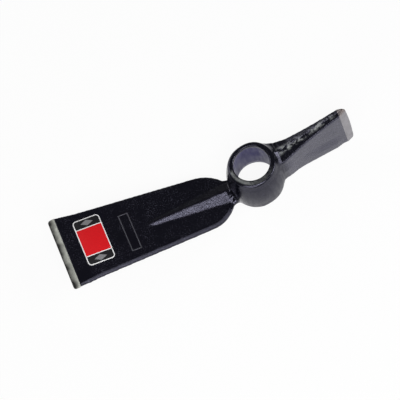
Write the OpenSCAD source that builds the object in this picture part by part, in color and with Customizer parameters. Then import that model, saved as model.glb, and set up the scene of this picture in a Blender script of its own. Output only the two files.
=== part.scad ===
// Cutter mattock head: a drop-forged eye with a broad hoe on one side and an
// axe on the other. The origin is on the eye's axis at half its height, +Z is the
// side that the hands hold, the axe points along +X and the hoe along -X.

/* [Eye] */
// Height of the eye, from rim to rim
eye_height = 43.5; // [36:0.5:60]
// Diameter of the straight bore that grips the handle
bore_d = 38; // [34:0.5:41]
// Length of the straight bore, from the upper lip down
bore_land = 33; // [20:1:34]
// Diameter of the bore where it flares out at the lower lip
bore_flare_d = 42.4; // [40:0.1:48]
// Outer diameter of the upper rim
rim_top_d = 50.2; // [47:0.2:58]
// Outer diameter of the eye at its foot
rim_foot_d = 56; // [52:0.2:70]
// How far the outer wall bulges between the rim and the foot
wall_bulge = 3; // [0:0.1:4]
// Sideways place of the outer wall's axis, off the bore's axis
eye_shift = -1.2; // [-2:0.1:2]
// Radius of the rim's and the foot's rounded lips
lip_r = 2.2; // [0.8:0.1:2.6]
// Radius of the bore's upper lip
bore_lip_r = 1; // [0.5:0.1:1.6]

/* [Hoe] */
// Eye axis to the hoe's cutting edge, along the blade
hoe_reach = 218.8; // [180:0.2:260]
// Width of the cutting edge
hoe_edge_w = 84; // [74:1:100]
// Width of the blade at the eye, if its straight sides ran on to it
hoe_root_w = 56; // [46:1:66]
// Width of the neck where the blade meets the eye
hoe_neck_w = 28; // [27:0.5:40]
// Length of the neck, from the eye's foot to the shoulders
hoe_neck_l = 5; // [2:0.5:10]
// Length of the curved shoulders between the neck and the sides
shoulder_len = 30; // [16:1:40]
// Power of the shoulders' curve: 1 is straight
shoulder_curve = 2.4; // [1:0.1:3]
// Sideways place of the blade's middle at the shoulders
hoe_skew = -2; // [-3:0.5:3]
// How far each side flares out near the edge
flare = 1.8; // [0:0.1:4]
// Length of the flare
flare_len = 34; // [15:1:60]
// Angle at which the blade rises towards the hands
hoe_rise = 9; // [4:0.1:14]
// Height of the blade's face above the eye's foot, at the eye
hoe_seat = 5.4; // [4:0.1:8]
// Thickness of the blade at the eye
hoe_root_t = 5.9; // [4:0.1:9]
// Thickness of the blade where the bevel starts
hoe_edge_t = 4.4; // [3:0.1:7]
// Length of the ground bevel
hoe_bevel = 7.2; // [4:0.1:12]
// Thickness left at the cutting edge
hoe_tip_t = 0.8; // [0.4:0.1:1.5]
// Radius of the edge's corners
hoe_corner_r = 3; // [1:0.5:4]

/* [Rib] */
// Eye axis to the rib's tip, as a share of the hoe's reach
rib_share = 0.553; // [0.4:0.001:0.6]
// Length of the rib's nose, where its end falls to the blade
rib_nose = 9; // [4:0.5:16]
// Width of the rib where the nose starts
rib_nose_w = 7; // [3:0.5:12]
// Width of the rib's foot at the eye
rib_w = 26; // [16:1:26]
// Height of the rib at the eye
rib_h = 7; // [3:0.5:12]
// Sideways place of the tip
rib_tip_y = -4; // [-6:0.5:6]

/* [Axe] */
// Eye axis to the upper corner of the axe's edge
axe_reach = 107.8; // [90:0.2:140]
// How much further out the edge's lower corner lies
axe_rake = 2.8; // [0:0.2:6]
// Sideways place of the axe's middle
axe_shift = 1.9; // [-3:0.1:3]
// Height of the edge's upper corner above the middle of the eye
axe_top = 44; // [32:0.5:56]
// Slope of the crest, down to the eye
axe_slope = 20; // [12:0.2:24]
// Slope of the crowned top, from the crest down to each cheek
axe_crown = 16; // [4:0.5:20]
// Slope of the web that blends the crest into the upper rim
axe_web = 35; // [25:1:60]
// How far the axe's lower side rises from the eye's axis to the edge
axe_lift = 2.5; // [0:0.1:8]
// Thickness of the axe where the bevel starts
axe_edge_t = 9.2; // [5:0.2:11]
// Thickness of the axe at the eye
axe_root_t = 25.5; // [14:0.5:32]
// Power of the cheek's hollow: 1 is flat
axe_hollow = 1.9; // [1:0.1:2.5]
// Length of the ground bevel at the upper corner
axe_bevel_top = 8; // [5:0.1:12]
// Length of the ground bevel at the lower corner
axe_bevel_foot = 7.8; // [4:0.1:12]
// Thickness left at the cutting edge
axe_tip_t = 0.8; // [0.4:0.1:1.5]
// How far the edge bulges out between its corners
axe_bulge = 1.2; // [0:0.1:4]
// Radius of the edge's corners
axe_corner_r = 4; // [1:0.5:5]

/* [Markings] */
// Length of the stamped frame, across the blade
stamp_l = 44; // [24:1:48]
// Width of the stamped frame
stamp_w = 11; // [7:0.5:16]
// Width of the frame's raised line
stamp_line = 1.2; // [0.8:0.1:2]
// Height of the raised line
stamp_h = 0.6; // [0.3:0.1:1]
// Sideways place of the frame's middle
stamp_y = -4; // [-6:0.5:6]
// Length of the sticker, across the blade
label_l = 54; // [30:1:60]
// Width of the sticker
label_w = 29; // [20:1:32]
// Thickness of the sticker
label_t = 0.3; // [0.2:0.05:0.6]
// Radius of the sticker's corners
label_r = 4; // [1:0.5:8]
// Middle of the sticker to the start of the hoe's bevel
label_gap = 30; // [20:0.5:36]
// Sideways place of the sticker's middle
label_y = 2; // [-5:0.5:5]

/* [Hidden] */
$fn = 96;
steps = 12;
bore_r = bore_d / 2;
flare_r = bore_flare_d / 2;
rim_top_r = rim_top_d / 2;
rim_foot_r = rim_foot_d / 2;
eye_top = eye_height / 2;
eye_foot = -eye_height / 2;
rim_z = eye_top - lip_r;
bore_top = eye_top - bore_lip_r;
bore_foot = bore_top - bore_land;

// The blade's own frame lies in its upper face, with s running from the eye's axis to the edge
seat_z = eye_foot + hoe_seat;
blade_z = seat_z - rim_foot_r * tan(hoe_rise);
wall_s = rim_foot_r / cos(hoe_rise);
bevel_s = hoe_reach - hoe_bevel;
label_s = bevel_s - label_gap;
rib_reach = rib_share * hoe_reach;
// The frame lies half way between the rib's tip and the sticker
stamp_s = (rib_reach + label_s - label_w / 2) / 2;

// The axe's crest and edge in the plane of the head
bound_top_x = axe_reach - axe_bevel_top;
bound_foot_x = axe_reach + axe_rake - axe_bevel_foot;
crest_eye_z = axe_top - axe_reach * tan(axe_slope);
web_eye_z = rim_z + rim_top_r * tan(axe_web);
axe_low = eye_foot + axe_lift;
// Spare length by which a cutting shape runs past what it cuts
spare = 20;

function arc(x, y, r, from, to) =
    [for (i = [0:steps]) let (a = from + (to - from) * i / steps) [x + r * cos(a), y + r * sin(a)]];

// Smooth ramp from 0 to 1, level at both ends
function ramp(t) = let (u = max(0, min(1, t))) u * u * (3 - 2 * u);

// Share of the shoulders' drop that is left at distance s: 1 on the neck, 0 on the straight sides
function shoulder(s) = let (t = (s - wall_s - hoe_neck_l) / shoulder_len)
    pow(1 - max(0, min(1, t)), shoulder_curve);

// What a corner of radius r takes off, at distance d from the end
function corner_cut(d, r) = d >= r ? 0 : r - sqrt(max(0, r * r - (r - d) * (r - d)));

// Middle line and half width of the hoe at distance s from the eye's axis
function hoe_mid(s) = hoe_skew * (1 - shoulder(s)) * (hoe_reach - s) / (hoe_reach - wall_s);
function hoe_side(s) = let (end = hoe_edge_w / 2 - flare)
    hoe_root_w / 2 + (end - hoe_root_w / 2) * (s - wall_s) / (hoe_reach - wall_s);
function hoe_half(s) = hoe_side(s)
    + flare * ramp((s - hoe_reach + flare_len) / flare_len)
    - (hoe_root_w - hoe_neck_w) / 2 * shoulder(s)
    - corner_cut(hoe_reach - s, hoe_corner_r);

// Thickness of the hoe at distance s
function hoe_thick(s) = hoe_root_t + (hoe_edge_t - hoe_root_t) * (s - wall_s) / (bevel_s - wall_s);

// Stations along the hoe: close together on the shoulders, the flare and the corners
function spread(from, to) = [for (i = [1:steps]) from + (to - from) * i / steps];
hoe_stations = concat(
    [0, wall_s, wall_s + hoe_neck_l],
    spread(wall_s + hoe_neck_l, wall_s + hoe_neck_l + shoulder_len),
    spread(hoe_reach - flare_len, hoe_reach - hoe_corner_r),
    spread(hoe_reach - hoe_corner_r, hoe_reach));

// Half thickness of the axe's cheeks at distance x
function axe_half(x) = axe_edge_t / 2 + (axe_root_t - axe_edge_t) / 2
    * pow(max(0, bound_foot_x - x) / (bound_foot_x - rim_foot_r), axe_hollow);

// Place of the axe's edge and of its bevel line at height share t, from foot to crest
function axe_edge_z(t) = axe_low + (axe_top - axe_low) * t;
function axe_edge_x(t) = let (z = axe_edge_z(t))
    axe_reach + axe_rake * (1 - t) + axe_bulge * 4 * t * (1 - t)
    - corner_cut(z - axe_low, axe_corner_r) - corner_cut(axe_top - z, axe_corner_r);
function bound_x(t) = bound_foot_x + (bound_top_x - bound_foot_x) * t;

// The eye's outer profile, from the top of its rim down its bulging wall to the foot
outer_profile = concat(
    arc(rim_top_r - lip_r, rim_z, lip_r, 90, 0),
    [for (i = [1:steps]) let (t = i / steps)
        [rim_top_r + (rim_foot_r - rim_top_r) * t + wall_bulge * 4 * t * (1 - t),
         rim_z + (eye_foot - rim_z) * t]]);

// Outer shape of the eye without its bore, to seat what is forged on to it
module eye_outer() {
    translate([0, eye_shift, 0])
        rotate_extrude()
            polygon(concat([[0, eye_foot], [0, eye_top]], outer_profile));
}

// The bore with its rounded lips, run on past both ends
module eye_bore() {
    rotate_extrude()
        polygon(concat(
            [[0, eye_foot - spare], [flare_r + lip_r, eye_foot - spare]],
            arc(flare_r + lip_r, eye_foot + lip_r, lip_r, 270, 180),
            [[bore_r, bore_foot]],
            arc(bore_r + bore_lip_r, bore_top, bore_lip_r, 180, 90),
            [[bore_r + bore_lip_r, eye_top + spare], [0, eye_top + spare]]));
}

module eye_ring() {
    color("#26262b")
        difference() {
            eye_outer();
            eye_bore();
        }
}

// Places its children in the hoe's own frame, where -X runs to the edge and +Z is off its face
module on_hoe() {
    translate([0, 0, blade_z])
        rotate([0, hoe_rise, 0])
            children();
}

// Everything above the plane of the eye's foot
module above_foot() {
    translate([-hoe_reach - spare, -hoe_edge_w, eye_foot])
        cube([2 * (hoe_reach + spare), 2 * hoe_edge_w, 4 * eye_height]);
}

module hoe_outline() {
    far_side = [for (s = hoe_stations) [-s, hoe_mid(s) + hoe_half(s)]];
    near_side = [for (i = [len(hoe_stations) - 1:-1:0]) let (s = hoe_stations[i]) [-s, hoe_mid(s) - hoe_half(s)]];
    polygon(concat(far_side, near_side));
}

// A side profile drawn in s and height, drawn out across the blade and trimmed to its outline
module hoe_slice(profile) {
    intersection() {
        translate([0, 0, -eye_height])
            linear_extrude(2 * eye_height)
                hoe_outline();
        rotate([90, 0, 0])
            translate([0, 0, -hoe_edge_w])
                linear_extrude(2 * hoe_edge_w)
                    polygon(profile);
    }
}

module hoe_blade() {
    color("#1c1c20")
        difference() {
            intersection() {
                on_hoe()
                    hoe_slice([[0, 0], [-bevel_s, 0], [-bevel_s, -hoe_thick(bevel_s)], [0, -hoe_thick(0)]]);
                above_foot();
            }
            eye_outer();
        }
}

module hoe_edge() {
    color("#9a9a90")
        on_hoe()
            hoe_slice([
                [-bevel_s, 0], [-hoe_reach, hoe_tip_t - hoe_edge_t],
                [-hoe_reach, -hoe_edge_t], [-bevel_s, -hoe_edge_t]]);
}

// A three-sided ridge that narrows towards a short nose, wide and high at the eye
module hoe_rib() {
    nose_s = rib_reach - rib_nose;
    nose_y = rib_tip_y * nose_s / rib_reach;
    root_w = rib_nose_w + (rib_w - rib_nose_w) * nose_s / (nose_s - wall_s);
    slope = rib_h / rib_w;
    function cut(s, y, w) = [[-s, y + w / 2, 0], [-s, y - w / 2, 0], [-s, y, w * slope]];
    color("#232328")
        difference() {
            on_hoe()
                polyhedron(
                    points = concat(
                        cut(0, 0, root_w), cut(nose_s, nose_y, rib_nose_w), [[-rib_reach, rib_tip_y, 0]]),
                    faces = [[0, 1, 2], [0, 2, 5, 3], [2, 1, 4, 5], [1, 0, 3, 6, 4], [3, 5, 6], [5, 4, 6]]);
            eye_outer();
        }
}

// Crowned space under a ridge that starts on the eye's axis at height z and climbs at an angle
module under_ridge(z, climb) {
    drop = axe_root_t * tan(axe_crown);
    translate([0, 0, z])
        rotate([0, -climb, 0])
            rotate([90, 0, 90])
                linear_extrude(2 * axe_reach)
                    polygon([
                        [0, 0], [-axe_root_t, -drop], [-axe_root_t, -4 * eye_height],
                        [axe_root_t, -4 * eye_height], [axe_root_t, -drop]]);
}

// Places its children on the axe's middle plane
module on_axe() {
    translate([0, axe_shift, 0])
        children();
}

// The axe's crest, with the web that falls from the rim to meet it
module axe_crest() {
    under_ridge(crest_eye_z, axe_slope);
    under_ridge(web_eye_z, -axe_web);
}

// Side view of the axe from the eye's axis to the line where the bevel starts
module axe_side() {
    rotate([90, 0, 0])
        translate([0, 0, -axe_root_t])
            linear_extrude(2 * axe_root_t)
                polygon([
                    [0, eye_foot], [bound_x(0), axe_low], [bound_x(1), axe_top],
                    [bound_x(1), axe_top + spare], [rim_top_r, axe_top + spare],
                    [rim_top_r, rim_z], [0, rim_z]]);
}

// Plan of the axe's two hollow cheeks
module axe_cheeks() {
    stations = concat([0], spread(0, bound_foot_x));
    far_side = [for (x = stations) [x, axe_half(x)]];
    near_side = [for (i = [len(stations) - 1:-1:0]) [stations[i], -axe_half(stations[i])]];
    translate([0, 0, eye_foot])
        linear_extrude(axe_top - eye_foot + spare)
            polygon(concat(far_side, near_side));
}

module axe_blade() {
    color("#2a2a30")
        difference() {
            on_axe()
                intersection() {
                    axe_side();
                    axe_cheeks();
                    axe_crest();
                }
            eye_outer();
        }
}

// A wedge from the bevel line to the curved edge, one cross cut for each height share
module axe_edge() {
    last = 2 * steps;
    root = axe_edge_t / 2;
    tip = axe_tip_t / 2;
    cuts = [for (i = [0:last]) let (t = i / last, z = axe_edge_z(t), b = bound_x(t), e = axe_edge_x(t))
        each [[b, -root, z], [e, -tip, z], [e, tip, z], [b, root, z]]];
    sides = [for (i = [0:last - 1], k = [0:3]) let (a = 4 * i + k, b = 4 * i + (k + 1) % 4)
        each [[a, a + 4, b + 4], [a, b + 4, b]]];
    color("#a8a8a0")
        on_axe()
            intersection() {
                polyhedron(
                    points = cuts,
                    faces = concat(sides, [[0, 1, 2, 3], [4 * last + 3, 4 * last + 2, 4 * last + 1, 4 * last]]));
                axe_crest();
            }
}

// A plain raised frame stamped into the hoe's face
module stamp_frame() {
    color("#26262b")
        on_hoe()
            translate([-stamp_s, stamp_y, 0])
                linear_extrude(stamp_h)
                    difference() {
                        square([stamp_w, stamp_l], center = true);
                        square([stamp_w - 2 * stamp_line, stamp_l - 2 * stamp_line], center = true);
                    }
}

// A plain sticker with round corners on the hoe's face
module label() {
    x = label_w / 2 - label_r;
    y = label_l / 2 - label_r;
    color("#c62026")
        on_hoe()
            translate([-label_s, label_y, 0])
                linear_extrude(label_t)
                    polygon(concat(
                        arc(x, y, label_r, 0, 90),
                        arc(-x, y, label_r, 90, 180),
                        arc(-x, -y, label_r, 180, 270),
                        arc(x, -y, label_r, 270, 360)));
}

eye_ring();
hoe_blade();
hoe_rib();
hoe_edge();
axe_blade();
axe_edge();
stamp_frame();
label();
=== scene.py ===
"""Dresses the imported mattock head: painted forging, ground edges, stamped frame, sticker and studio."""

import math

import bmesh
import bpy
import numpy as np
from bpy.props import FloatProperty, FloatVectorProperty, IntProperty, PointerProperty
from mathutils import Matrix, Vector


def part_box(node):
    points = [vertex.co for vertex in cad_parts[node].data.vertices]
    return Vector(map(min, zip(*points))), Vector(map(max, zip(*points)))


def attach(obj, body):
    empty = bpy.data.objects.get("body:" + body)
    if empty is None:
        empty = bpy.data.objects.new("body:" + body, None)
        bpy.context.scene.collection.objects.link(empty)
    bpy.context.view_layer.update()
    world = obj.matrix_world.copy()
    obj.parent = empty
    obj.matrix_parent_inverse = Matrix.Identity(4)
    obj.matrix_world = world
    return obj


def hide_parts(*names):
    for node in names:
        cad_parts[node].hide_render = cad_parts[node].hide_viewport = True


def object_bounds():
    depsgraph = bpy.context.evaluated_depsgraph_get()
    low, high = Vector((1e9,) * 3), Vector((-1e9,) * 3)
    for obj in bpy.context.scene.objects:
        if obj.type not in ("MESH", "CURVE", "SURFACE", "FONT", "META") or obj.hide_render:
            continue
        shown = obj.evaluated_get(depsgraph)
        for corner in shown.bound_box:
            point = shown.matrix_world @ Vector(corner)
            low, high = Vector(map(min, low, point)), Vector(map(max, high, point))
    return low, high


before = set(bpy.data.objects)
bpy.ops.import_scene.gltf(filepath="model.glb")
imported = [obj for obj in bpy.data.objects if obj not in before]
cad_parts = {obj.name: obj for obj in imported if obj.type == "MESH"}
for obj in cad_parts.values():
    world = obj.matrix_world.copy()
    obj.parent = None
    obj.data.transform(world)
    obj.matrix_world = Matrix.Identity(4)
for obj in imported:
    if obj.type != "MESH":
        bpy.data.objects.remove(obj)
cad_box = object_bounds()

bl_info = {
    "name": "Mattock Head",
    "version": (1, 0, 0),
    "blender": (4, 5, 0),
    "location": "View3D > Sidebar > Mattock",
    "description": "Models and finishes a forged mattock head around its CAD frame",
    "category": "Add Mesh",
}

BODY = "root"
PAINT_SLOT = "black_paint"
STEEL_SLOT = "ground_steel"
STICKER_SLOT = "sticker"
MM = 0.001
UP = (0, 0, 1)

# Middle of the shared grain's height
GRAIN_MIDDLE = 0.75
# Radius inside which the eye's faces belong to its bore
BORE_SIDE = 24 * MM
# Distance from the eye's axis at which the axe's cheeks start
AXE_START = 30 * MM

# Each soft box: its name, place, width in metres and power in watts
SOFT_BOXES = (
    ("front_box", (0.0, -1.28, 1.35), 0.9, 19.0),
    ("back_box", (-1.2, 1.3, 1.1), 1.0, 10.0),
    ("side_box", (1.7, -0.5, 0.9), 0.9, 19.0),
    ("left_box", (-1.1, -1.3, 0.8), 0.8, 8.0),
)


def colour_prop(name, description, default):
    """A colour setting."""
    return FloatVectorProperty(
        name=name, description=description, default=default, subtype="COLOR", size=3, min=0, max=1)


def length_prop(name, description, default):
    """A length setting in metres."""
    return FloatProperty(
        name=name, description=description, default=default, unit="LENGTH", precision=5, min=0)


def angle_prop(name, description, degrees):
    """An angle setting, given in degrees."""
    return FloatProperty(
        name=name, description=description, default=math.radians(degrees), subtype="ANGLE")


def share_prop(name, description, default):
    """A share between none and all."""
    return FloatProperty(
        name=name, description=description, default=default, subtype="FACTOR", min=0, max=1)


def number_prop(name, description, default):
    """A plain number."""
    return FloatProperty(name=name, description=description, default=default, min=0)


def count_prop(name, description, default):
    """A whole number."""
    return IntProperty(name=name, description=description, default=default, min=0)


class MATTOCK_PG_forging(bpy.types.PropertyGroup):
    """Sizes of the forging's soft and uneven forms."""

    voxel: length_prop("Mesh size", "Size of the forging's mesh", 0.8 * MM)
    side_bevel: length_prop("Near bevel", "Bevel along the hoe's upper near edge", 2.3 * MM)
    far_bevel: length_prop("Far bevel", "Bevel along the hoe's upper far edge", 0.8 * MM)
    nose: length_prop("Nose", "Length by which the rib's nose is drawn out", 5 * MM)
    nose_reach: length_prop("Nose reach", "Length of the rib's nose", 12 * MM)
    nose_lift: length_prop("Nose lift", "Height by which the rib's nose is lifted", 0.4 * MM)
    soften: count_prop("Soften", "Smoothing passes over the whole forging", 5)
    even: count_prop("Even", "Smoothing passes along the hoe's near side", 12)
    fillet: count_prop("Fillet", "Smoothing passes where the blades join the eye", 60)
    fillet_reach: length_prop("Fillet reach", "How far from the eye's wall the fillets reach", 9 * MM)
    fillet_width: length_prop("Fillet width", "How far to each side the fillets reach", 24 * MM)
    rim: length_prop("Rim", "Outer radius of the eye's upper rim", 25.1 * MM)
    rim_inner: length_prop("Inner rim", "Inner radius of the eye's upper rim", 20 * MM)
    lift: length_prop("Lift", "Height by which the eye's far rim stands up", 1.0 * MM)
    web: length_prop("Web", "Height by which the web at the axe's far root is filled", 2.4 * MM)
    web_out: length_prop("Web width", "Width by which the web at the axe's far root is filled", 1.2 * MM)
    saddle: length_prop("Saddle", "Height by which the rib's near facet rises at the eye", 4.5 * MM)
    swell: length_prop("Swell", "Growth of the sides that makes up for the smoothing", 1.6 * MM)
    belly: length_prop("Belly", "Swelling of the axe's near cheek near its lower end", 1.2 * MM)
    root: length_prop("Root", "Swelling of the axe's near cheek where it meets the eye", 1.5 * MM)
    wave: length_prop("Waviness", "Height of the forging's slow waves", 0.22 * MM)
    wave_size: length_prop("Wave size", "Size of the forging's slow waves", 14 * MM)
    crest_slope: angle_prop("Crest slope", "Slope of the axe's crest", 20)
    flash: length_prop("Flash", "Height of the rough trimmed seam on the axe's crest", 0.8 * MM)
    flash_width: length_prop("Flash width", "Half width of the trimmed seam", 2.8 * MM)
    flash_grain: length_prop("Flash grain", "Size of the trimmed seam's lumps", 3.2 * MM)
    stamp_round: length_prop("Stamp round", "Rounding of the stamped frame's lines", 0.28 * MM)


class MATTOCK_PG_paint(bpy.types.PropertyGroup):
    """Colours and gloss of the paint."""

    colour: colour_prop("Paint", "Colour of the black enamel", (0.0025, 0.0025, 0.005))
    # Painted glints: pale dots where the rough enamel would catch the light
    glint: colour_prop("Glints", "Colour of the pale specks in the paint", (0.055, 0.055, 0.075))
    # Painted sheen: the cheeks' reflected light as a lighter, bluer colour
    cheek: colour_prop("Cheek", "Colour of the painted sheen on the axe's cheeks", (0.046, 0.045, 0.064))
    # Painted reflection: the bore's violet reflections as colour
    bore: colour_prop("Bore", "Colour of the painted reflection inside the eye", (0.025, 0.021, 0.10))
    # Painted glints on the rib's near facet, which faces the lamps
    grit_and_glints: colour_prop("Rib glints", "Colour of the glints painted on the rib's near facet", (0.06, 0.06, 0.085))
    line: colour_prop("Raised lines", "Colour of the stamped frame's thin paint", (0.062, 0.062, 0.072))
    # On the crest's seam bare metal; on the rim partly wear, partly a painted highlight
    seam: colour_prop("Seam", "Colour of the crest's bare seam and of the rim's wear and painted highlight", (0.46, 0.48, 0.47))
    sheen: colour_prop("Sheen", "Tint of the paint's reflections", (0.76, 0.75, 1.0))
    grain: number_prop("Grain", "Fineness of the grain under the paint", 900)
    depth: length_prop("Grain depth", "Depth of the grain under the paint", 0.3 * MM)
    gloss: share_prop("Gloss", "Roughness of the glossiest paint", 0.16)
    patchy: share_prop("Patches", "Roughness that the duller patches add", 0.08)
    satin: share_prop("Satin", "Roughness that the bore and the satin walls add", 0.14)
    drawn: share_prop("Drawn lines", "Roughness that drawn lines add to the satin walls", 0.20)
    wear_and_highlight: share_prop("Wear and highlight", "Roughness that the bare seam and the rim's wear and painted highlight add", 0.35)
    slick: share_prop("Slick", "Share of roughness and grain that slick faces keep", 0.45)
    ior: number_prop("Refraction", "Index of refraction of the enamel", 1.58)


class MATTOCK_PG_steel(bpy.types.PropertyGroup):
    """Colours, finish and corners of the ground edges."""

    hoe: colour_prop("Hoe steel", "Colour of the hoe's ground steel", (0.62, 0.632, 0.58))
    axe: colour_prop("Axe steel", "Colour of the axe's ground steel", (0.335, 0.325, 0.345))
    stain: colour_prop("Stain", "Colour of the dull blotches", (0.05, 0.05, 0.048))
    rust: colour_prop("Tint", "Brown tint at the axe's upper corner", (0.20, 0.15, 0.13))
    hoe_matt: share_prop("Hoe roughness", "Roughness of the hoe's ground steel", 0.6)
    axe_matt: share_prop("Axe roughness", "Roughness of the axe's ground steel", 0.4)
    hoe_blotch: share_prop("Hoe blotches", "Strength of the hoe's dull blotches", 0.35)
    axe_blotch: share_prop("Axe blotches", "Strength of the axe's dull blotches", 0.25)
    ground: share_prop("Grinding", "Roughness that the grinding lines add", 0.15)
    grain: number_prop("Grain", "Fineness of the steel's grain", 700)
    ragged: length_prop("Ragged", "Unevenness of the dull strip at the hoe's edge", 9 * MM)
    dull_off: length_prop("Dull offset", "How far off the edge the dull strip is full", 3.1 * MM)
    dull_reach: length_prop("Dull reach", "How far onto the steel the dull strip reaches", 2.0 * MM)
    tint_drop: length_prop("Tint drop", "How far below the axe's corner the tint starts", 7 * MM)
    tint_fade: length_prop("Tint fade", "Height over which the tint comes in", 8 * MM)
    tint: share_prop("Tint strength", "Strength of the tint at the axe's corner", 0.8)
    round: length_prop("Edge round", "Rounding of the ground corners", 0.25 * MM)
    corner: length_prop("Lower corner", "How far the axe edge's lower corner is drawn out", 2.6 * MM)
    lean: length_prop("Lean", "How far the axe edge's lower end leans to the near side", 1.6 * MM)


class MATTOCK_PG_sticker(bpy.types.PropertyGroup):
    """Colours and sizes of the plain sticker."""

    field: colour_prop("Field", "Colour of the middle field", (0.70, 0.009, 0.014))
    band: colour_prop("Ends", "Colour of the two ends", (0.012, 0.012, 0.014))
    gem: colour_prop("Diamond", "Colour of the diamonds", (0.22, 0.22, 0.23))
    line: colour_prop("Line", "Colour of the border and the lines", (0.90, 0.90, 0.90))
    corner: length_prop("Corner", "Radius of the corners", 4 * MM)
    border: length_prop("Border", "Width of the border", 1.0 * MM)
    rule: length_prop("Rule", "Half width of the lines beside the field", 0.5 * MM)
    end_length: length_prop("End length", "Length of each dark end", 11 * MM)
    gem_size: length_prop("Diamond size", "Half height of the diamonds", 3.4 * MM)
    thick: length_prop("Thickness", "Thickness of the film", 0.3 * MM)
    film_edge: length_prop("Film edge", "Rounding of the film's edge", 0.08 * MM)
    grain: number_prop("Grain", "Fineness of the film's grain", 400)
    gloss: share_prop("Gloss", "Roughness of the glossiest film", 0.3)
    patchy: share_prop("Patches", "Roughness that the duller patches add", 0.12)


class MATTOCK_PG_stage(bpy.types.PropertyGroup):
    """Camera, room and floor."""

    lens: FloatProperty(name="Lens", description="Focal length", default=153.0, unit="CAMERA", min=1)
    azimuth: angle_prop("Azimuth", "Camera's turn about the eye", -0.1)
    elevation: angle_prop("Elevation", "Camera's height angle", 63.31)
    roll: angle_prop("Roll", "Camera's roll", -24.32)
    place: FloatVectorProperty(
        name="Place", description="Camera's place", default=(-0.0643, -0.7904, 1.5661),
        unit="LENGTH", size=3)
    floor: colour_prop("Floor", "Colour of the floor", (0.90, 0.90, 0.90))
    floor_radius: length_prop("Floor radius", "Radius of the round floor", 8.0)
    floor_gap: length_prop("Floor gap", "Gap between the head's foot and the floor", 0.2 * MM)
    glow: share_prop("Glow", "Share of the floor that shows as plain white", 0.93)
    sky: number_prop("Sky", "Brightness of the dim room", 0.09)


def use(piece):
    """Makes a piece the only selected and active object."""
    bpy.ops.object.select_all(action="DESELECT")
    piece.select_set(True)
    bpy.context.view_layer.objects.active = piece


def edit(piece, mode="EDGE"):
    """Opens a piece in edit mode with nothing selected, and returns its editable mesh."""
    use(piece)
    bpy.ops.object.mode_set(mode="EDIT")
    bpy.ops.mesh.select_mode(type=mode)
    bpy.ops.mesh.select_all(action="DESELECT")
    return bmesh.from_edit_mesh(piece.data)


def close_edit():
    """Leaves edit mode."""
    bpy.ops.object.mode_set(mode="OBJECT")


def merged_copy(node, name):
    """A copy of a CAD node with its loose triangles merged and its flat faces whole."""
    piece = bpy.data.objects.new(name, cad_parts[node].data.copy())
    bpy.context.scene.collection.objects.link(piece)
    piece.data.materials.clear()
    use(piece)
    bpy.ops.mesh.customdata_custom_splitnormals_clear()
    edit(piece)
    bpy.ops.mesh.select_all(action="SELECT")
    bpy.ops.mesh.remove_doubles(threshold=0.002 * MM)
    bpy.ops.mesh.dissolve_limited(angle_limit=math.radians(0.5))
    close_edit()
    return piece


def apply_modifier(piece, kind, name, **values):
    """Adds a modifier with its values and applies it."""
    modifier = piece.modifiers.new(name, kind)
    for key, value in values.items():
        setattr(modifier, key, value)
    use(piece)
    bpy.ops.object.modifier_apply(modifier=name)


def smooth(piece, passes, group=""):
    """Smooths a piece, or only what a vertex group holds."""
    apply_modifier(piece, "SMOOTH", "smooth", factor=0.5, iterations=passes, vertex_group=group)


def push(piece, group, reach, way="NORMAL"):
    """Moves what a vertex group holds by a length, along the normals or an axis."""
    apply_modifier(
        piece, "DISPLACE", "push", direction=way, strength=reach, mid_level=0, vertex_group=group)


def ruffle(piece, name, lump, reach, level, group=""):
    """Moves a piece, or what a vertex group holds, in and out by lumps of a size."""
    clouds = bpy.data.textures.new(name, "CLOUDS")
    clouds.noise_scale = lump
    apply_modifier(
        piece, "DISPLACE", name, texture=clouds, texture_coords="LOCAL", strength=reach, mid_level=level,
        vertex_group=group)


def round_corners(piece, width, segments, degrees):
    """Rounds a piece's corners that are sharper than an angle."""
    apply_modifier(
        piece, "BEVEL", "round", width=width, segments=segments, limit_method="ANGLE",
        angle_limit=math.radians(degrees))


def largest_face(node, towards):
    """Centre and normal of a CAD node's largest face that looks a given way."""
    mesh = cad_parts[node].data
    faces = [p for p in mesh.polygons if p.normal.dot(Vector(towards)) > 0.85]
    face = max(faces, key=lambda p: p.area)
    return face.center.copy(), face.normal.copy()


def rows_of(piece, field):
    """One field of a piece's points, such as their places or normals, as three rows."""
    values = np.empty(len(piece.data.vertices) * 3)
    piece.data.vertices.foreach_get(field, values)
    return values.reshape(-1, 3).T


def fade(value, start, end):
    """Goes from 0 where a value is at its start to 1 where it is at its end."""
    return np.clip((value - start) / (end - start), 0, 1)


class Skin:
    """A piece's points and normals, with what the forging's zones are measured by."""

    def __init__(self, piece):
        self.x, self.y, self.z = rows_of(piece, "co")
        self.nx, self.ny, self.nz = rows_of(piece, "normal")
        self.radius = np.hypot(self.x, self.y)
        self.turn = np.degrees(np.arctan2(self.y, self.x)) % 360
        self.outward = (self.nx * self.x + self.ny * self.y) / self.radius
        face, up = largest_face("hoe_blade", UP)
        self.raised = (self.x - face.x) * up.x + (self.y - face.y) * up.y + (self.z - face.z) * up.z

    def near_side(self):
        """What looks to the near side below the hoe's face, as the hoe's side and its bevel do."""
        return fade(self.ny, -0.15, -0.35) * (self.raised < 0.2 * MM)


def weigh(piece, name, weights):
    """Stores one weight for each point as a vertex group, in ten steps."""
    group = piece.vertex_groups.new(name=name)
    for step in range(1, 11):
        chosen = np.nonzero(np.rint(weights * 10).astype(int) == step)[0]
        group.add(chosen.tolist(), step / 10, "REPLACE")


def finish_piece(piece, material, slot, *nodes):
    """Gives a piece its material and puts it in the place of its CAD nodes; the slot is not used."""
    piece.data.materials.clear()
    piece.data.materials.append(material)
    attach(piece, BODY)
    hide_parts(*nodes)


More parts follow.
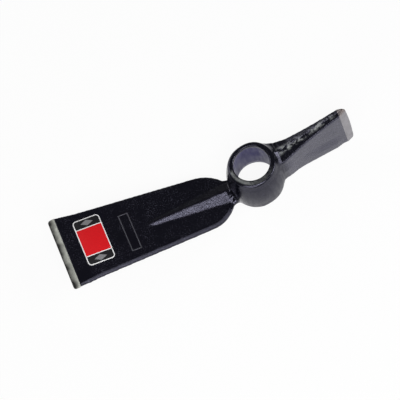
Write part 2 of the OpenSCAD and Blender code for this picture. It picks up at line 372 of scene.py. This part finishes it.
def node_of(tree, kind, inputs=None, **values):
    """Adds a shader node, sets its values and its unlinked inputs."""
    node = tree.nodes.new(kind)
    for key, value in values.items():
        setattr(node, key, value)
    for key, value in (inputs or {}).items():
        node.inputs[key].default_value = value
    return node


def noise(tree, vector, scale, detail=2.0, rough=0.5):
    """A noise texture on a vector, returned as its value output."""
    node = node_of(tree, "ShaderNodeTexNoise", {"Scale": scale, "Detail": detail, "Roughness": rough})
    tree.links.new(vector, node.inputs["Vector"])
    return node.outputs["Fac"]


def remap(tree, value, low, high, to_low=0.0, to_high=1.0):
    """Maps a value from one range to another, clamped."""
    node = node_of(tree, "ShaderNodeMapRange", {
        "From Min": low, "From Max": high, "To Min": to_low, "To Max": to_high})
    tree.links.new(value, node.inputs["Value"])
    return node.outputs["Result"]


def math_of(tree, kind, a, b=0):
    """A maths node on one or two values, each an output or a number."""
    node = node_of(tree, "ShaderNodeMath", operation=kind)
    for socket, value in zip(node.inputs, (a, b)):
        if isinstance(value, (int, float)):
            socket.default_value = value
        else:
            tree.links.new(value, socket)
    return node.outputs["Value"]


def times(tree, a, b):
    """The product of two values."""
    return math_of(tree, "MULTIPLY", a, b)


def plus(tree, a, b):
    """The sum of two values."""
    return math_of(tree, "ADD", a, b)


def minus(tree, a, b):
    """The difference of two values."""
    return math_of(tree, "SUBTRACT", a, b)


def larger(tree, a, b):
    """The larger of two values."""
    return math_of(tree, "MAXIMUM", a, b)


def mix_colour(tree, factor, a, b):
    """Mixes two colours, each an output or a plain colour."""
    node = node_of(tree, "ShaderNodeMix", data_type="RGBA")
    tree.links.new(factor, node.inputs["Factor"])
    for socket, value in ((node.inputs[6], a), (node.inputs[7], b)):
        if isinstance(value, bpy.types.NodeSocket):
            tree.links.new(value, socket)
        else:
            socket.default_value = (*value, 1.0)
    return node.outputs[2]


def grain_group():
    """Shader group: the fine grain of a rough surface under its coat, with its scale as an input."""
    name = "forged_grain"
    if name in bpy.data.node_groups:
        return bpy.data.node_groups[name]
    group = bpy.data.node_groups.new(name, "ShaderNodeTree")
    face = group.interface
    face.new_socket("Vector", in_out="INPUT", socket_type="NodeSocketVector")
    face.new_socket("Scale", in_out="INPUT", socket_type="NodeSocketFloat")
    for output in ("Height", "Glints", "Patches"):
        face.new_socket(output, in_out="OUTPUT", socket_type="NodeSocketFloat")
    source = group.nodes.new("NodeGroupInput")
    sink = group.nodes.new("NodeGroupOutput")
    scaled = node_of(group, "ShaderNodeVectorMath", operation="SCALE")
    group.links.new(source.outputs["Vector"], scaled.inputs[0])
    group.links.new(source.outputs["Scale"], scaled.inputs["Scale"])
    vector = scaled.outputs["Vector"]
    peel = noise(group, vector, 0.55, 3.0, 0.55)
    grit_and_glints = noise(group, vector, 2.2, 2.0, 0.6)
    group.links.new(plus(group, peel, times(group, grit_and_glints, 0.5)), sink.inputs["Height"])
    # Painted glints: sparse pale dots of the rough enamel
    glints = remap(group, noise(group, vector, 1.3, 1.0), 0.6, 0.7)
    group.links.new(glints, sink.inputs["Glints"])
    patches = remap(group, noise(group, vector, 0.06, 4.0, 0.6), 0.35, 0.65)
    group.links.new(patches, sink.inputs["Patches"])
    return group


def new_material(name):
    """A material with its tree, its Principled shader and the object's own coordinates."""
    material = bpy.data.materials.new(name)
    material.use_nodes = True
    tree = material.node_tree
    shader = tree.nodes["Principled BSDF"]
    place = tree.nodes.new("ShaderNodeTexCoord").outputs["Object"]
    return material, tree, shader, place


def add_grain(tree, place, scale):
    """Puts the shared grain into a material and returns its outputs."""
    grain = node_of(tree, "ShaderNodeGroup", node_tree=grain_group())
    grain.inputs["Scale"].default_value = scale
    tree.links.new(place, grain.inputs["Vector"])
    return grain.outputs


def add_bump(tree, shader, height, distance, strength):
    """Feeds a height into a shader's normal."""
    bump = node_of(tree, "ShaderNodeBump", {"Distance": distance, "Strength": strength})
    tree.links.new(height, bump.inputs["Height"])
    tree.links.new(bump.outputs["Normal"], shader.inputs["Normal"])


def split_axes(tree, vector):
    """A vector's X, Y and Z as outputs."""
    split = node_of(tree, "ShaderNodeSeparateXYZ")
    tree.links.new(vector, split.inputs["Vector"])
    return split.outputs


def mark_of(tree, name):
    """A mark stored on the mesh, as a value."""
    return node_of(tree, "ShaderNodeAttribute", attribute_name=name).outputs["Fac"]


def streaks(tree, place, stretch, scale):
    """Long fine streaks: noise drawn out along the axes whose stretch is small."""
    long = node_of(tree, "ShaderNodeMapping", {"Scale": stretch})
    tree.links.new(place, long.inputs["Vector"])
    return noise(tree, long.outputs["Vector"], scale, 3.0, 0.6)


def painted_sheen_and_glints(tree, place, colour, settings):
    """Painted sheen, reflection and glints: a lighter, bluer tone with drawn streaks on the axe's cheeks,
    a violet tone in the bore and pale dots on the rib's near facet.
    """
    lines = streaks(tree, place, (0.12, 1.0, 1.0), 700.0)
    # Painted sheen on both axe cheeks, broken by drawn streaks
    cheek = times(tree, mark_of(tree, "cheek"), remap(tree, lines, 0.3, 0.7, 0.45, 1.0))
    colour = mix_colour(tree, cheek, colour, settings.cheek)
    # Painted reflection: violet colour deep in the bore
    colour = mix_colour(tree, mark_of(tree, "bore"), colour, settings.bore)
    # Painted glints: pale dots on the rib's near facet
    rib_glints = remap(tree, noise(tree, place, 1100.0, 1.0), 0.48, 0.62)
    return mix_colour(tree, times(tree, mark_of(tree, "rib"), rib_glints), colour, settings.grit_and_glints)


def wear_and_highlight_share(tree, place, height):
    """How bare the metal is: in broken flecks along the crest's seam, and in blotches on the rim's near
    side, which are partly wear and partly a painted highlight.
    """
    broken = remap(tree, streaks(tree, place, (0.55, 1.0, 1.0), 240.0), 0.47, 0.6)
    flecks = remap(tree, height, 0.55, 0.95, 0.4, 1.0)
    seam = times(tree, mark_of(tree, "seam"), times(tree, broken, flecks))
    # On the rim, blotches of wear that also paint the rim's highlight
    blotches = remap(tree, noise(tree, place, 260.0, 3.0), 0.38, 0.62, 0.14, 0.48)
    return larger(tree, seam, times(tree, mark_of(tree, "rim_wear_and_highlight"), blotches))


def uneven_gloss(tree, place, rough, wear_and_highlight, settings):
    """Roughness with drawn lines on the satin walls and more of it on the crest's bare seam and on the
    rim's blotches of wear and painted highlight.
    """
    satin = larger(tree, mark_of(tree, "bore"), mark_of(tree, "satin"))
    lines = streaks(tree, place, (1.0, 1.0, 0.15), 350.0)
    drawn = remap(tree, lines, 0.3, 0.7, settings.satin, settings.satin + settings.drawn)
    rough = plus(tree, rough, times(tree, satin, drawn))
    return plus(tree, rough, times(tree, wear_and_highlight, settings.wear_and_highlight))


def paint_material(settings, name, marked=True):
    """Glossy black enamel over a grainy forging with pale dots as painted glints; where the piece is
    marked, also painted sheen, reflection, glints and highlight, bare metal, and satin or slick gloss.
    """
    material, tree, shader, place = new_material(name)
    grain = add_grain(tree, place, settings.grain)
    # Painted glints: pale dots mixed into the enamel's colour
    glints = times(tree, grain["Glints"], grain["Patches"])
    colour = mix_colour(tree, glints, settings.colour if marked else settings.line, settings.glint)
    rough = remap(tree, grain["Patches"], 0.0, 1.0, settings.gloss, settings.gloss + settings.patchy)
    height = grain["Height"]
    if marked:
        # Bare metal on the crest's seam; on the rim wear with a painted highlight
        wear_and_highlight = wear_and_highlight_share(tree, place, height)
        colour = mix_colour(tree, wear_and_highlight, painted_sheen_and_glints(tree, place, colour, settings), settings.seam)
        keep = remap(tree, mark_of(tree, "slick"), 0.0, 1.0, 1.0, settings.slick)
        rough = times(tree, uneven_gloss(tree, place, rough, wear_and_highlight, settings), keep)
        height = times(tree, minus(tree, height, GRAIN_MIDDLE), keep)
    tree.links.new(colour, shader.inputs["Base Color"])
    tree.links.new(rough, shader.inputs["Roughness"])
    shader.inputs["IOR"].default_value = settings.ior
    shader.inputs["Specular Tint"].default_value = (*settings.sheen, 1.0)
    add_bump(tree, shader, height, settings.depth, 0.5)
    return material


def steel_material(settings, name, steel, blotched, matt, edge=None, tint_from=None):
    """Bare ground steel with grinding lines and blotches, dull along an edge or tinted above a height."""
    material, tree, shader, place = new_material(name)
    grain = add_grain(tree, place, settings.grain)
    lines = streaks(tree, place, (0.1, 1.0, 0.3), 1500.0)
    blotch = remap(tree, noise(tree, place, 110.0, 4.0, 0.6), 0.45, 0.75, 0.0, blotched)
    colour = mix_colour(tree, blotch, steel, settings.stain)
    axes = split_axes(tree, place)
    if edge is not None:
        along = minus(tree, axes["X"], times(tree, noise(tree, place, 75.0), settings.ragged))
        dull = remap(tree, along, edge - settings.dull_off, edge + settings.dull_reach, 1.0, 0.0)
        colour = mix_colour(tree, dull, colour, settings.stain)
    if tint_from is not None:
        tint = remap(tree, axes["Z"], tint_from, tint_from + settings.tint_fade, 0.0, settings.tint)
        colour = mix_colour(tree, tint, colour, settings.rust)
    tree.links.new(colour, shader.inputs["Base Color"])
    rough = remap(tree, lines, 0.3, 0.7, matt, matt + settings.ground)
    tree.links.new(rough, shader.inputs["Roughness"])
    shader.inputs["Metallic"].default_value = 1.0
    height = plus(tree, lines, times(tree, grain["Height"], 0.3))
    add_bump(tree, shader, height, 0.1 * MM, 0.25)
    return material


class MATTOCK_OT_forging(bpy.types.Operator):
    """Models the painted forging: eye, hoe, rib and axe blended into one skin"""

    bl_idname = "mattock.forging"
    bl_label = "Forged Head"

    def execute(self, context):
        size = context.scene.mattock_forging
        head = self.join_forms(size)
        joined = Skin(head)
        self.blend_joints(head, joined, size)
        self.fill_out(head, joined, size)
        self.soften(head, size)
        ruffle(head, "slow_waves", size.wave_size, size.wave, 0.5)
        waved = Skin(head)
        seam = self.tear_seam(head, waved, size)
        self.mark_paint(head, waved, seam, size)
        self.trim(head, "hoe_edge", (1, 0, 0))
        self.trim(head, "axe_edge", (-1, 0, 0))
        use(head)
        bpy.ops.object.shade_smooth()
        paint = paint_material(context.scene.mattock_paint, "black_enamel")
        finish_piece(head, paint, PAINT_SLOT, "eye_ring", "hoe_blade", "hoe_rib", "axe_blade")
        return {"FINISHED"}

    def join_forms(self, size):
        """One closed skin around all forms of the forging, with its edges still sharp."""
        head = merged_copy("hoe_blade", "forged_head")
        self.bevel_sides(head, size)
        rib = merged_copy("hoe_rib", "rib_work")
        self.draw_nose(rib, size)
        others = [merged_copy(n, n + "_work") for n in ("eye_ring", "hoe_edge", "axe_blade", "axe_edge")]
        use(head)
        for other in (rib, *others):
            other.select_set(True)
        bpy.ops.object.join()
        apply_modifier(head, "REMESH", "skin", mode="VOXEL", voxel_size=size.voxel)
        return head

    def bevel_sides(self, hoe, size):
        """Bevels the hoe's two upper side edges up to the ground edge."""
        up = largest_face("hoe_blade", UP)[1]
        for side, width in ((-1, size.side_bevel), (1, size.far_bevel)):
            mesh = edit(hoe)
            for edge in mesh.edges:
                edge.select_set(self.is_upper_side(edge, up, side))
            bmesh.update_edit_mesh(hoe.data)
            bpy.ops.mesh.bevel(offset=width, offset_type="OFFSET", segments=3, affect="EDGES")
            close_edit()

    def is_upper_side(self, edge, up, side):
        """Whether an edge lies between the hoe's level face and its upright side."""
        if len(edge.link_faces) != 2:
            return False
        rises = [face.normal.dot(up) for face in edge.link_faces]
        level = max(rises) > 0.99
        upright = min(abs(rise) for rise in rises) < 0.2
        return level and upright and max(face.normal.y * side for face in edge.link_faces) > 0.3

    def draw_nose(self, rib, size):
        """Draws the rib's nose out along the hoe, so that it keeps its length once it is softened."""
        up = largest_face("hoe_blade", UP)[1]
        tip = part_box("hoe_rib")[0].x
        mesh = edit(rib, "VERT")
        for vert in mesh.verts:
            vert.select_set(vert.co.x < tip + size.nose_reach)
        bmesh.update_edit_mesh(rib.data)
        along = Vector((-up.z, 0, up.x))
        bpy.ops.transform.translate(value=along * size.nose + up * size.nose_lift)
        close_edit()

    def beyond_wall(self, skin, size):
        """How far each point lies outside the eye's wall, which leans in from its foot to its rim."""
        low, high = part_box("eye_ring")
        lean = (size.rim - high.x) * (skin.z - low.z) / (high.z - low.z)
        return skin.radius - high.x - lean

    def blend_joints(self, head, skin, size):
        """Blends the blades into the eye with wide fillets, which spare the hoe's face."""
        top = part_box("eye_ring")[1].z
        out = self.beyond_wall(skin, size)
        reach = size.fillet_reach
        near = fade(out, 1.3 * reach, 0.3 * reach) * fade(out, -3 * MM, 0)
        beside = fade(np.abs(skin.y), size.fillet_width, size.fillet_width - 5 * MM)
        below = np.where(skin.x > 0, 1, fade(skin.z, top - 5 * MM, top - 9 * MM))
        upright = fade(skin.nz, 0.8, 0.5)
        weigh(head, "joints", near * beside * below * upright)
        smooth(head, size.fillet, "joints")

    def fill_out(self, head, skin, size):
        """Fills out the rib at the eye, the eye's far rim and the web at the axe's far root."""
        x, y, z = skin.x, skin.y, skin.z
        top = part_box("eye_ring")[1].z
        facet = fade(y, -14 * MM, -10 * MM) * fade(y, -1 * MM, -6 * MM) * fade(z, 4 * MM, -8 * MM)
        upper = (skin.nz > -0.1) * (x < 0)
        weigh(head, "saddle", facet * upper * fade(self.beyond_wall(skin, size), 7 * MM, 0))
        far = fade(y, 0, 8 * MM) * fade(x, -6 * MM, 12 * MM)
        weigh(head, "rim", far * fade(z, top - 8 * MM, top) * (skin.radius < size.rim + 2 * MM))
        span = fade(x, 20 * MM, 28 * MM) * fade(x, 42 * MM, 30 * MM)
        weigh(head, "web", span * fade(y, -2 * MM, 6 * MM) * fade(z, 0, 12 * MM))
        span = fade(x, -4 * MM, 14 * MM) * fade(x, 40 * MM, 28 * MM)
        weigh(head, "web_out", span * fade(y, 6 * MM, 14 * MM) * fade(z, 0, 8 * MM))
        push(head, "saddle", size.saddle, "Z")
        push(head, "rim", size.lift, "Z")
        push(head, "web", size.web, "Z")
        push(head, "web_out", size.web_out, "Y")

    def soften(self, head, size):
        """Rounds every edge, swells the sides again and evens the hoe's near side."""
        skin = Skin(head)
        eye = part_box("eye_ring")[1].x
        clear = fade(skin.x, -eye - 8 * MM, -eye - 14 * MM)
        weigh(head, "near_side", skin.near_side() * (skin.nz > -0.5) * clear)
        smooth(head, size.soften)
        self.swell_sides(head, size)
        smooth(head, size.even, "near_side")

    def swell_sides(self, head, size):
        """Grows the sides by what the smoothing took off, and the axe's near cheek a little more."""
        skin = Skin(head)
        x, y, z = skin.x, skin.y, skin.z
        hoe_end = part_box("hoe_edge")[1].x
        axe_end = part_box("axe_edge")[0].x
        inside = fade(x, hoe_end + 2 * MM, hoe_end + 10 * MM)
        inside *= fade(x, axe_end - 2 * MM, axe_end - 10 * MM)
        steep = np.where(x > AXE_START, skin.nz > -0.5, fade(np.abs(skin.nz), 0.5, 0.25))
        outside = (skin.radius > BORE_SIDE) * ((x < 5 * MM) | (x > AXE_START))
        weigh(head, "sides", inside * steep * outside * self.swell_share(skin))
        low = fade(x, 50 * MM, 75 * MM) * fade(z, 2 * MM, -10 * MM)
        weigh(head, "belly", inside * low * (skin.ny < -0.4))
        span = fade(x, 24 * MM, 28 * MM) * fade(x, 44 * MM, 32 * MM)
        weigh(head, "root", span * fade(z, 8 * MM, -4 * MM) * (skin.ny < -0.3))
        push(head, "sides", size.swell)
        push(head, "belly", size.belly)
        push(head, "root", -size.root, "Y")

    def swell_share(self, skin):
        """Share of the swell: all on the hoe's near side, up to half on the eye, a quarter elsewhere."""
        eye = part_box("eye_ring")[1].x
        wall = 0.25 + 0.25 * fade(skin.y, 6 * MM, -6 * MM)
        wall *= fade(skin.x, 5 * MM, -5 * MM)
        blade = np.where((skin.y < 0) & (skin.x < 0), 1, 0.25)
        return wall + (blade - wall) * fade(skin.radius, eye + 1 * MM, eye + 6 * MM)

    def tear_seam(self, head, skin, size):
        """Gives the axe's crest its torn seam, and returns where it lies."""
        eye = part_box("eye_ring")[1].x
        end = max(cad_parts["axe_blade"].data.vertices, key=lambda v: v.co.z).co
        crest = end.z - (end.x - skin.x) * math.tan(size.crest_slope)
        along = fade(skin.x, eye - 2 * MM, eye + 4 * MM) * fade(skin.x, end.x - 2 * MM, end.x - 10 * MM)
        narrow = np.clip(1.25 - 0.6 * (skin.x - eye) / (end.x - eye), 0.4, 1.3)
        width = size.flash_width * narrow
        across = fade(np.abs(skin.y - end.y), 1.5 * width, 0.5 * width)
        seam = along * across * (skin.nz > 0.3) * (np.abs(skin.z - crest) < 5 * MM)
        weigh(head, "seam_rough", seam)
        ruffle(head, "torn_seam", size.flash_grain, size.flash, 0.45, "seam_rough")
        return seam

    def mark_paint(self, head, skin, seam, size):
        """Marks where sheen, reflection, glints and highlight are painted, where the metal shows bare,
        and where the paint is satin or slick.
        """
        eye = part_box("eye_ring")[1].x
        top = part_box("eye_ring")[1].z
        # Painted sheen on the axe's cheeks
        cheek = fade(np.abs(skin.ny), 0.7, 0.9) * fade(skin.x, eye, eye + 6 * MM)
        # Painted reflection deep in the bore
        bore = fade(skin.outward, -0.5, -0.8) * (skin.radius < BORE_SIDE)
        bore *= fade(skin.z, top - 2 * MM, top - 5 * MM)
        ridge = fade(skin.raised, 0.4 * MM, 1.2 * MM) * (skin.x < -eye)
        # Painted glints on the rib's near facet, the side that faces the lamps
        near_facet = ridge * fade(skin.ny, 0, -0.2) * fade(skin.radius, eye + 4 * MM, eye + 6 * MM)
        far_facet = ridge * fade(skin.ny, 0, 0.2)
        hoe_side = skin.near_side() * (skin.x < -eye - 8 * MM)
        marks = {
            "seam": seam,
            "cheek": cheek,
            "bore": bore,
            "rib": near_facet,
            "satin": np.maximum(self.near_wall(skin, eye, top), hoe_side),
            # The rim's wear and painted highlight
            "rim_wear_and_highlight": self.rim_wear_and_highlight_zone(skin, size),
            "slick": np.maximum(far_facet, self.left_wall(skin, eye)),
        }
        for name, values in marks.items():
            mark = head.data.attributes.new(name, "FLOAT", "POINT")
            mark.data.foreach_set("value", values.astype(np.float32))

    def near_wall(self, skin, eye, top):
        """The eye's wall on the near side, below its lip."""
        wall = fade(skin.outward, 0.5, 0.8) * fade(skin.radius, eye + 4 * MM, eye + 1 * MM)
        return wall * fade(skin.z, top - 4 * MM, top - 7 * MM) * fade(skin.turn, 210, 235)

    def left_wall(self, skin, eye):
        """The eye's wall over the rib."""
        wall = fade(skin.outward, 0.15, 0.35) * fade(skin.radius, eye + 6 * MM, eye + 4 * MM)
        return wall * fade(skin.turn, 160, 180) * fade(skin.turn, 226, 214)

    def rim_wear_and_highlight_zone(self, skin, size):
        """The inner part of the eye's rim on the near side, strongest over the rib: wear and a painted
        highlight.
        """
        low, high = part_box("eye_ring")
        outer = size.rim + (low.y + high.y) / 2 * skin.y / skin.radius
        share = (skin.radius - size.rim_inner) / (outer - size.rim_inner)
        around = fade(skin.turn, 172, 186) * fade(skin.turn, 330, 220)
        # Level faces only, where the rim's highlight falls
        level = (skin.nz > 0.5) * (skin.z > high.z - 4 * MM)
        return fade(share, 0, 0.15) * fade(share, 0.75, 0.55) * around * level

    def trim(self, head, node, towards):
        """Cuts the skin off where a ground edge starts."""
        centre, normal = largest_face(node, towards)
        edit(head, "VERT")
        bpy.ops.mesh.select_all(action="SELECT")
        bpy.ops.mesh.bisect(plane_co=centre, plane_no=-normal, use_fill=True, clear_outer=True)
        close_edit()


class MATTOCK_OT_edges(bpy.types.Operator):
    """Models the two ground edges with softly rounded corners"""

    bl_idname = "mattock.edges"
    bl_label = "Ground Edges"

    def execute(self, context):
        settings = context.scene.mattock_steel
        hoe_steel = steel_material(
            settings, "hoe_steel", settings.hoe, settings.hoe_blotch, settings.hoe_matt,
            edge=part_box("hoe_edge")[0].x)
        axe_steel = steel_material(
            settings, "axe_steel", settings.axe, settings.axe_blotch, settings.axe_matt,
            tint_from=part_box("axe_edge")[1].z - settings.tint_drop)
        for node, steel in (("hoe_edge", hoe_steel), ("axe_edge", axe_steel)):
            piece = merged_copy(node, "ground_" + node)
            if node == "axe_edge":
                self.draw_corner(piece, settings)
            round_corners(piece, settings.round, 2, 30)
            use(piece)
            bpy.ops.object.shade_smooth_by_angle(angle=math.radians(30))
            finish_piece(piece, steel, STEEL_SLOT, node)
        return {"FINISHED"}

    def draw_corner(self, piece, settings):
        """Draws the axe edge's lower corner out nearly square and leans the edge's lower end over."""
        low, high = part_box("axe_edge")
        mesh = edit(piece, "VERT")
        for vert in mesh.verts:
            vert.select_set(vert.co.z < low.z + 0.1 * MM and vert.co.x > high.x - 6 * MM)
        bmesh.update_edit_mesh(piece.data)
        bpy.ops.transform.translate(value=(settings.corner, 0, 0))
        close_edit()
        y, z = rows_of(piece, "co")[1:]
        cutting = np.abs(y - (low.y + high.y) / 2) < 0.6 * MM
        weigh(piece, "lean", cutting * fade(z, 0.45 * low.z, low.z))
        push(piece, "lean", -settings.lean, "Y")


class MATTOCK_OT_stamp(bpy.types.Operator):
    """Models the plain stamped frame with rounded lines"""

    bl_idname = "mattock.stamp"
    bl_label = "Stamped Frame"

    def execute(self, context):
        piece = merged_copy("stamp_frame", "stamped_frame")
        round_corners(piece, context.scene.mattock_forging.stamp_round, 3, 40)
        use(piece)
        bpy.ops.object.shade_smooth()
        paint = paint_material(context.scene.mattock_paint, "stamped_enamel", False)
        finish_piece(piece, paint, PAINT_SLOT, "stamp_frame")
        return {"FINISHED"}


class MATTOCK_OT_sticker(bpy.types.Operator):
    """Models the plain sticker on the hoe's face"""

    bl_idname = "mattock.sticker"
    bl_label = "Sticker"

    def execute(self, context):
        settings = context.scene.mattock_sticker
        low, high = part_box("label")
        up = largest_face("label", UP)[1]
        rise = math.atan2(up.x, up.z)
        width = (high.x - low.x - settings.thick * math.sin(rise)) / math.cos(rise)
        length = high.y - low.y
        middle = (low + high) / 2 - up * settings.thick / 2
        piece = self.cut_film(settings, width, length)
        piece.matrix_world = Matrix.Translation(middle) @ Matrix.Rotation(rise, 4, "Y")
        use(piece)
        bpy.ops.object.transform_apply(location=True, rotation=True, scale=True)
        bpy.ops.object.shade_smooth_by_angle(angle=math.radians(40))
        finish_piece(piece, self.print_film(settings, middle, rise, width, length), STICKER_SLOT, "label")
        return {"FINISHED"}

    def cut_film(self, settings, width, length):
        """A film with round corners and a finely rounded edge, flat at the origin."""
        bpy.ops.object.select_all(action="DESELECT")
        bpy.ops.mesh.primitive_plane_add(size=1)
        piece = bpy.context.object
        piece.name = "plain_sticker"
        piece.scale = (width, length, 1)
        bpy.ops.object.transform_apply(location=False, rotation=False, scale=True)
        edit(piece, "VERT")
        bpy.ops.mesh.select_all(action="SELECT")
        bpy.ops.mesh.bevel(offset=settings.corner, segments=8, affect="VERTICES")
        bpy.ops.mesh.select_all(action="SELECT")
        bpy.ops.mesh.extrude_region_move(TRANSFORM_OT_translate={"value": (0, 0, settings.thick)})
        bpy.ops.mesh.select_all(action="SELECT")
        bpy.ops.mesh.normals_make_consistent(inside=False)
        close_edit()
        round_corners(piece, settings.film_edge, 2, 60)
        return piece

    def print_film(self, settings, middle, rise, width, length):
        """Glossy film: a white border, a red field and two dark ends with a diamond each."""
        material, tree, shader, place = new_material("printed_film")
        flat = node_of(tree, "ShaderNodeMapping", {
            "Location": middle, "Rotation": (0, rise, 0)}, vector_type="TEXTURE")
        tree.links.new(place, flat.inputs["Vector"])
        axes = split_axes(tree, flat.outputs["Vector"])
        x = math_of(tree, "ABSOLUTE", axes["X"])
        y = math_of(tree, "ABSOLUTE", axes["Y"])
        field_end = length / 2 - settings.end_length
        dark = math_of(tree, "GREATER_THAN", y, field_end)
        colour = mix_colour(tree, dark, settings.field, settings.band)
        gem_y = math_of(tree, "ABSOLUTE", minus(tree, y, length / 2 - settings.end_length / 2))
        gem = math_of(tree, "LESS_THAN", plus(tree, times(tree, x, 0.5), gem_y), settings.gem_size)
        colour = mix_colour(tree, gem, colour, settings.gem)
        beside = math_of(tree, "ABSOLUTE", minus(tree, y, field_end))
        rule = math_of(tree, "LESS_THAN", beside, settings.rule)
        border = self.border(tree, settings, x, y, width, length)
        colour = mix_colour(tree, larger(tree, border, rule), colour, settings.line)
        tree.links.new(colour, shader.inputs["Base Color"])
        grain = add_grain(tree, place, settings.grain)
        rough = remap(tree, grain["Patches"], 0, 1, settings.gloss, settings.gloss + settings.patchy)
        tree.links.new(rough, shader.inputs["Roughness"])
        add_bump(tree, shader, grain["Height"], 0.05 * MM, 0.15)
        return material

    def border(self, tree, settings, x, y, width, length):
        """The strip along the sticker's outline, which follows its round corners."""
        over_x = larger(tree, minus(tree, x, width / 2 - settings.corner), 0)
        over_y = larger(tree, minus(tree, y, length / 2 - settings.corner), 0)
        squares = plus(tree, times(tree, over_x, over_x), times(tree, over_y, over_y))
        reach = math_of(tree, "SQRT", squares)
        return math_of(tree, "GREATER_THAN", reach, settings.corner - settings.border)


class MATTOCK_OT_stage(bpy.types.Operator):
    """Sets the camera, the lamps, the dim room and the pale floor"""

    bl_idname = "mattock.stage"
    bl_label = "Stage"

    def execute(self, context):
        settings = context.scene.mattock_stage
        self.camera(context, settings)
        self.floor(settings)
        world = context.scene.world or bpy.data.worlds.new("room")
        context.scene.world = world
        world.use_nodes = True
        back = world.node_tree.nodes["Background"]
        back.inputs["Color"].default_value = (1, 1, 1, 1)
        back.inputs["Strength"].default_value = settings.sky
        for box in SOFT_BOXES:
            self.lamp(*box)
        context.scene.view_settings.view_transform = "Standard"
        return {"FINISHED"}

    def camera(self, context, settings):
        """Places the camera and turns it by its azimuth, elevation and roll."""
        data = bpy.data.cameras.new("photo_camera")
        data.lens = settings.lens
        camera = bpy.data.objects.new("photo_camera", data)
        context.scene.collection.objects.link(camera)
        turn, rise, roll = settings.azimuth, settings.elevation, settings.roll
        out = math.cos(rise)
        back = Vector((math.sin(turn) * out, -math.cos(turn) * out, math.sin(rise)))
        level = (-back).cross(Vector(UP)).normalized()
        upright = level.cross(-back)
        right = level * math.cos(roll) + upright * math.sin(roll)
        up = upright * math.cos(roll) - level * math.sin(roll)
        turned = Matrix((right, up, back)).transposed().to_4x4()
        camera.matrix_world = Matrix.Translation(settings.place) @ turned
        context.scene.camera = camera

    def lamp(self, name, place, size, power):
        """A square soft box that looks at the eye."""
        data = bpy.data.lights.new(name, "AREA")
        data.size = size
        data.energy = power
        lamp = bpy.data.objects.new(name, data)
        lamp.location = place
        lamp.rotation_euler = Vector(place).to_track_quat("Z", "Y").to_euler()
        bpy.context.scene.collection.objects.link(lamp)

    def floor(self, settings):
        """A round pale floor just under the head's foot."""
        bpy.ops.object.select_all(action="DESELECT")
        height = cad_box[0].z - settings.floor_gap
        bpy.ops.mesh.primitive_circle_add(
            vertices=96, radius=settings.floor_radius, fill_type="NGON", location=(0, 0, height))
        floor = bpy.context.object
        floor.name = "pale_floor"
        material = bpy.data.materials.new("pale_floor")
        material.use_nodes = True
        tree = material.node_tree
        shader = tree.nodes["Principled BSDF"]
        shader.inputs["Base Color"].default_value = (*settings.floor, 1)
        shader.inputs["Roughness"].default_value = 0.9
        shader.inputs["Specular IOR Level"].default_value = 0.0
        glow = node_of(tree, "ShaderNodeEmission")
        path = tree.nodes.new("ShaderNodeLightPath").outputs
        seen = larger(tree, path["Is Camera Ray"], path["Is Glossy Ray"])
        seen = larger(tree, seen, path["Is Transmission Ray"])
        mix = tree.nodes.new("ShaderNodeMixShader")
        tree.links.new(times(tree, seen, settings.glow), mix.inputs["Fac"])
        tree.links.new(shader.outputs["BSDF"], mix.inputs[1])
        tree.links.new(glow.outputs["Emission"], mix.inputs[2])
        tree.links.new(mix.outputs["Shader"], tree.nodes["Material Output"].inputs["Surface"])
        floor.data.materials.append(material)


class MATTOCK_PT_parts(bpy.types.Panel):
    """Lists the steps that dress the head"""

    bl_idname = "MATTOCK_PT_parts"
    bl_label = "Mattock Head"
    bl_space_type = "VIEW_3D"
    bl_region_type = "UI"
    bl_category = "Mattock"

    def draw(self, context):
        for step in STEPS:
            self.layout.operator(step.bl_idname)


SETTINGS = {
    "mattock_forging": MATTOCK_PG_forging,
    "mattock_paint": MATTOCK_PG_paint,
    "mattock_steel": MATTOCK_PG_steel,
    "mattock_sticker": MATTOCK_PG_sticker,
    "mattock_stage": MATTOCK_PG_stage,
}
STEPS = (MATTOCK_OT_stage, MATTOCK_OT_forging, MATTOCK_OT_edges, MATTOCK_OT_stamp, MATTOCK_OT_sticker)


def register():
    """Registers the settings, the steps and the panel."""
    for name, group in SETTINGS.items():
        bpy.utils.register_class(group)
        setattr(bpy.types.Scene, name, PointerProperty(type=group))
    for step in (*STEPS, MATTOCK_PT_parts):
        bpy.utils.register_class(step)


def unregister():
    """Takes everything off again."""
    for step in (MATTOCK_PT_parts, *reversed(STEPS)):
        bpy.utils.unregister_class(step)
    for name, group in SETTINGS.items():
        delattr(bpy.types.Scene, name)
        bpy.utils.unregister_class(group)


def main():
    """Registers the add-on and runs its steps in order."""
    register()
    bpy.ops.mattock.stage()
    bpy.ops.mattock.forging()
    bpy.ops.mattock.edges()
    bpy.ops.mattock.stamp()
    bpy.ops.mattock.sticker()


if __name__ == "__main__":
    main()
